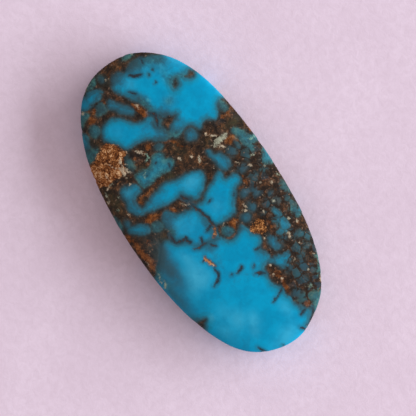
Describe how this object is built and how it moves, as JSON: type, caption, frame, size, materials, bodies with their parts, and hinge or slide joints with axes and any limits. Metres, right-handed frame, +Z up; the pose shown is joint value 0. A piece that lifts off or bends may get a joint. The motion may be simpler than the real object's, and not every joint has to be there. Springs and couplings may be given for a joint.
{
  "type": "turquoise cabochon",
  "caption": "Long oval turquoise stone with brown matrix, cut with a gently crowned top and a flat ground back, to be set, backed or laid on a surface.",
  "frame": {"origin": "middle of the stone's box at its flat back", "axes": "+X along the stone's length towards its clean blue end, +Y across its width, +Z up through the dome"},
  "size_m": [0.038, 0.019, 0.0048],
  "materials": {
    "turquoise_with_matrix": "soft polish, sky-blue turquoise with brown iron-stained matrix, rusty grainy patches and pale flecks"
  },
  "bodies": {
    "root": {"turquoise_stone": "turquoise_with_matrix"}
  },
  "joints": []
}
